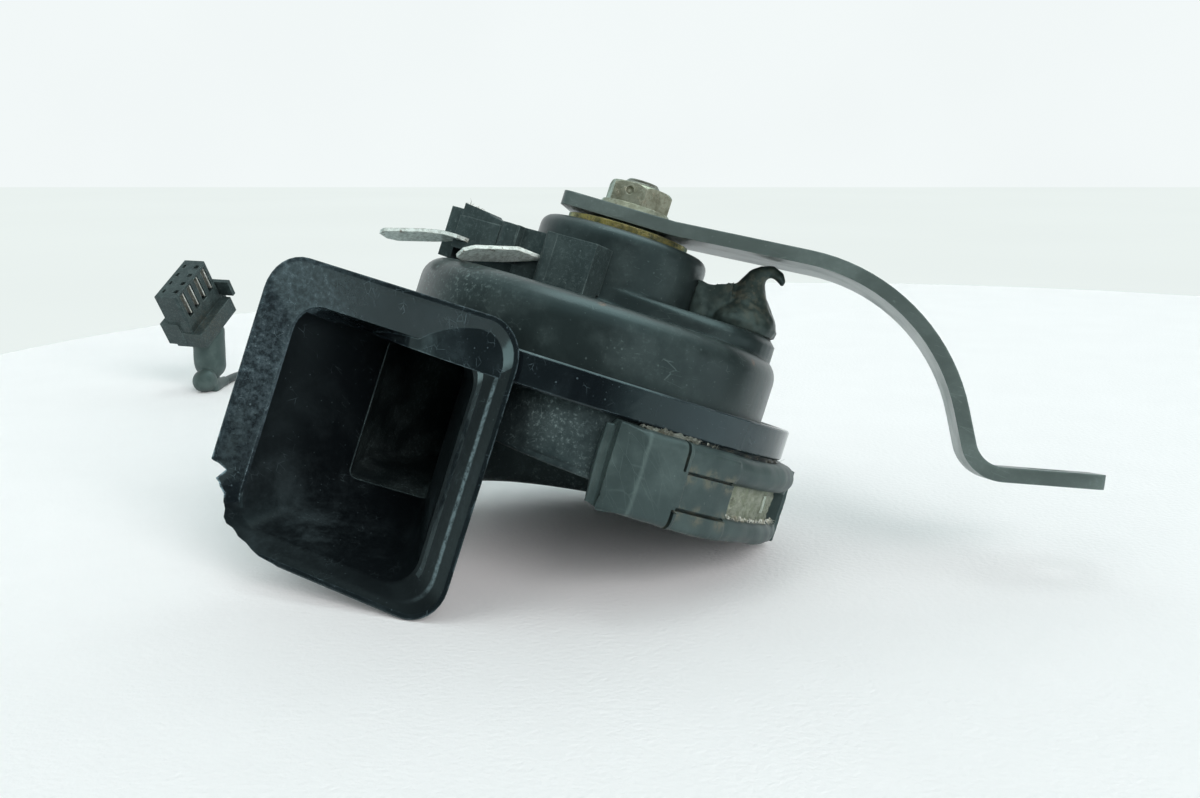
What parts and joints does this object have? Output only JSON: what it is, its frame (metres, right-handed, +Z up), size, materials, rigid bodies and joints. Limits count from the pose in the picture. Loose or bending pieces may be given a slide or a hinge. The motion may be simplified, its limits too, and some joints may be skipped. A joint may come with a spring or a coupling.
{
  "type": "motorcycle horn",
  "caption": "Electromagnetic motorcycle horn with a spiral trumpet, a bent strap bracket on a stud, blade terminals, a rubber boot and a short plugged lead.",
  "frame": {"origin": "middle of the horn's footprint on the table, with the lead and its plug left out", "axes": "+X along the horn's longest side, from the bell to the bracket's foot; +Y away from the bell's mouth; +Z up"},
  "size_m": [0.2573, 0.2757, 0.0805],
  "materials": {
    "black_paint": "worn semi-gloss black paint with dust",
    "iron": "plain iron",
    "bobbin_plastic": "natural nylon",
    "copper_wire": "enamelled copper",
    "spring_steel": "bright",
    "gasket_paper": "fibre gasket",
    "bare_steel": "dull zinc",
    "yellow_zinc": "worn yellow zinc",
    "brass_parts": "dull brass",
    "contact_metal": "bright",
    "insulator_board": "fibre board",
    "tinned_brass": "tinned, scratched",
    "sealant": "cured sealant, satin",
    "block_plastic": "matt black, dusty",
    "bell_plastic": "glossy black, scratched and dusty",
    "spiral_plastic": "black under dust",
    "boot_rubber": "satin rubber",
    "lead_rubber": "satin",
    "foam": "torn foam"
  },
  "bodies": {
    "horn": {"can": "black_paint", "core_stud": "iron", "coil_bobbin": "bobbin_plastic", "coil_winding": "copper_wire", "diaphragm": "spring_steel", "gasket_upper": "gasket_paper", "gasket_lower": "gasket_paper", "clamp_ring": "bare_steel", "contact_post": "brass_parts", "contact_insulator": "insulator_board", "contact_fixed_arm": "brass_parts", "contact_fixed": "contact_metal", "adjusting_screw": "brass_parts", "adjuster_seal": "sealant", "terminal_block": "block_plastic", "terminal_rivets": "brass_parts", "terminal_blade_left": "tinned_brass", "terminal_blade_right": "tinned_brass", "trumpet_bell": "bell_plastic", "trumpet_spiral": "spiral_plastic", "seat_washer": "yellow_zinc", "thin_washer": "bare_steel", "metal_band": "bare_steel", "rubber_boot": "boot_rubber", "foam_pad": "foam", "strain_relief": "boot_rubber", "lead": "lead_rubber", "plug_sleeve": "lead_rubber", "plug_housing": "block_plastic", "plug_contacts": "contact_metal"},
    "bracket": {"bracket": "black_paint"},
    "nut_washer": {"nut_washer": "bare_steel"},
    "lock_nut": {"lock_nut": "bare_steel"},
    "armature": {"armature": "iron", "armature_rivet": "iron"},
    "contact_arm": {"contact_moving_arm": "brass_parts", "contact_moving": "contact_metal", "contact_button": "bobbin_plastic"},
    "plug_latch": {"plug_latch": "block_plastic"}
  },
  "joints": [
    {"name": "bracket_swivel", "type": "hinge", "parent": "horn", "child": "bracket", "pos_m": [-0.00563, 0.00839, 0.07117], "axis": [0.3008, 0.153, 0.9413], "continuous": true},
    {"name": "nut_lift", "type": "slide", "parent": "horn", "child": "nut_washer", "axis": [0.3008, 0.153, 0.9413], "range_m": [0, 0.005]},
    {"name": "nut_turn", "type": "hinge", "parent": "nut_washer", "child": "lock_nut", "pos_m": [-0.00412, 0.00916, 0.07587], "axis": [0.3008, 0.153, 0.9413], "range_deg": [0, 1440]},
    {"name": "armature_stroke", "type": "slide", "parent": "horn", "child": "armature", "axis": [0.3008, 0.153, 0.9413], "range_m": [0, 0.0008], "stiffness_N_per_m": 2000, "deforming": ["diaphragm"]},
    {"name": "contact_opening", "type": "hinge", "parent": "horn", "child": "contact_arm", "pos_m": [0.01256, -0.01054, 0.04187], "axis": [0.1685, 0.963, -0.2104], "range_deg": [0, 2.6], "stiffness_Nm_per_rad": 0.02},
    {"name": "latch_flex", "type": "hinge", "parent": "horn", "child": "plug_latch", "pos_m": [-0.14824, 0.19967, 0.02957], "axis": [-0.9335, 0.3583, 0.0105], "range_deg": [0, 8], "stiffness_Nm_per_rad": 0.02}
  ],
  "couplings": [
    {"joint": "nut_turn", "follows": "nut_lift", "rad_per_m": 5026.5},
    {"joint": "contact_opening", "follows": "armature_stroke", "rad_per_m": 54}
  ]
}
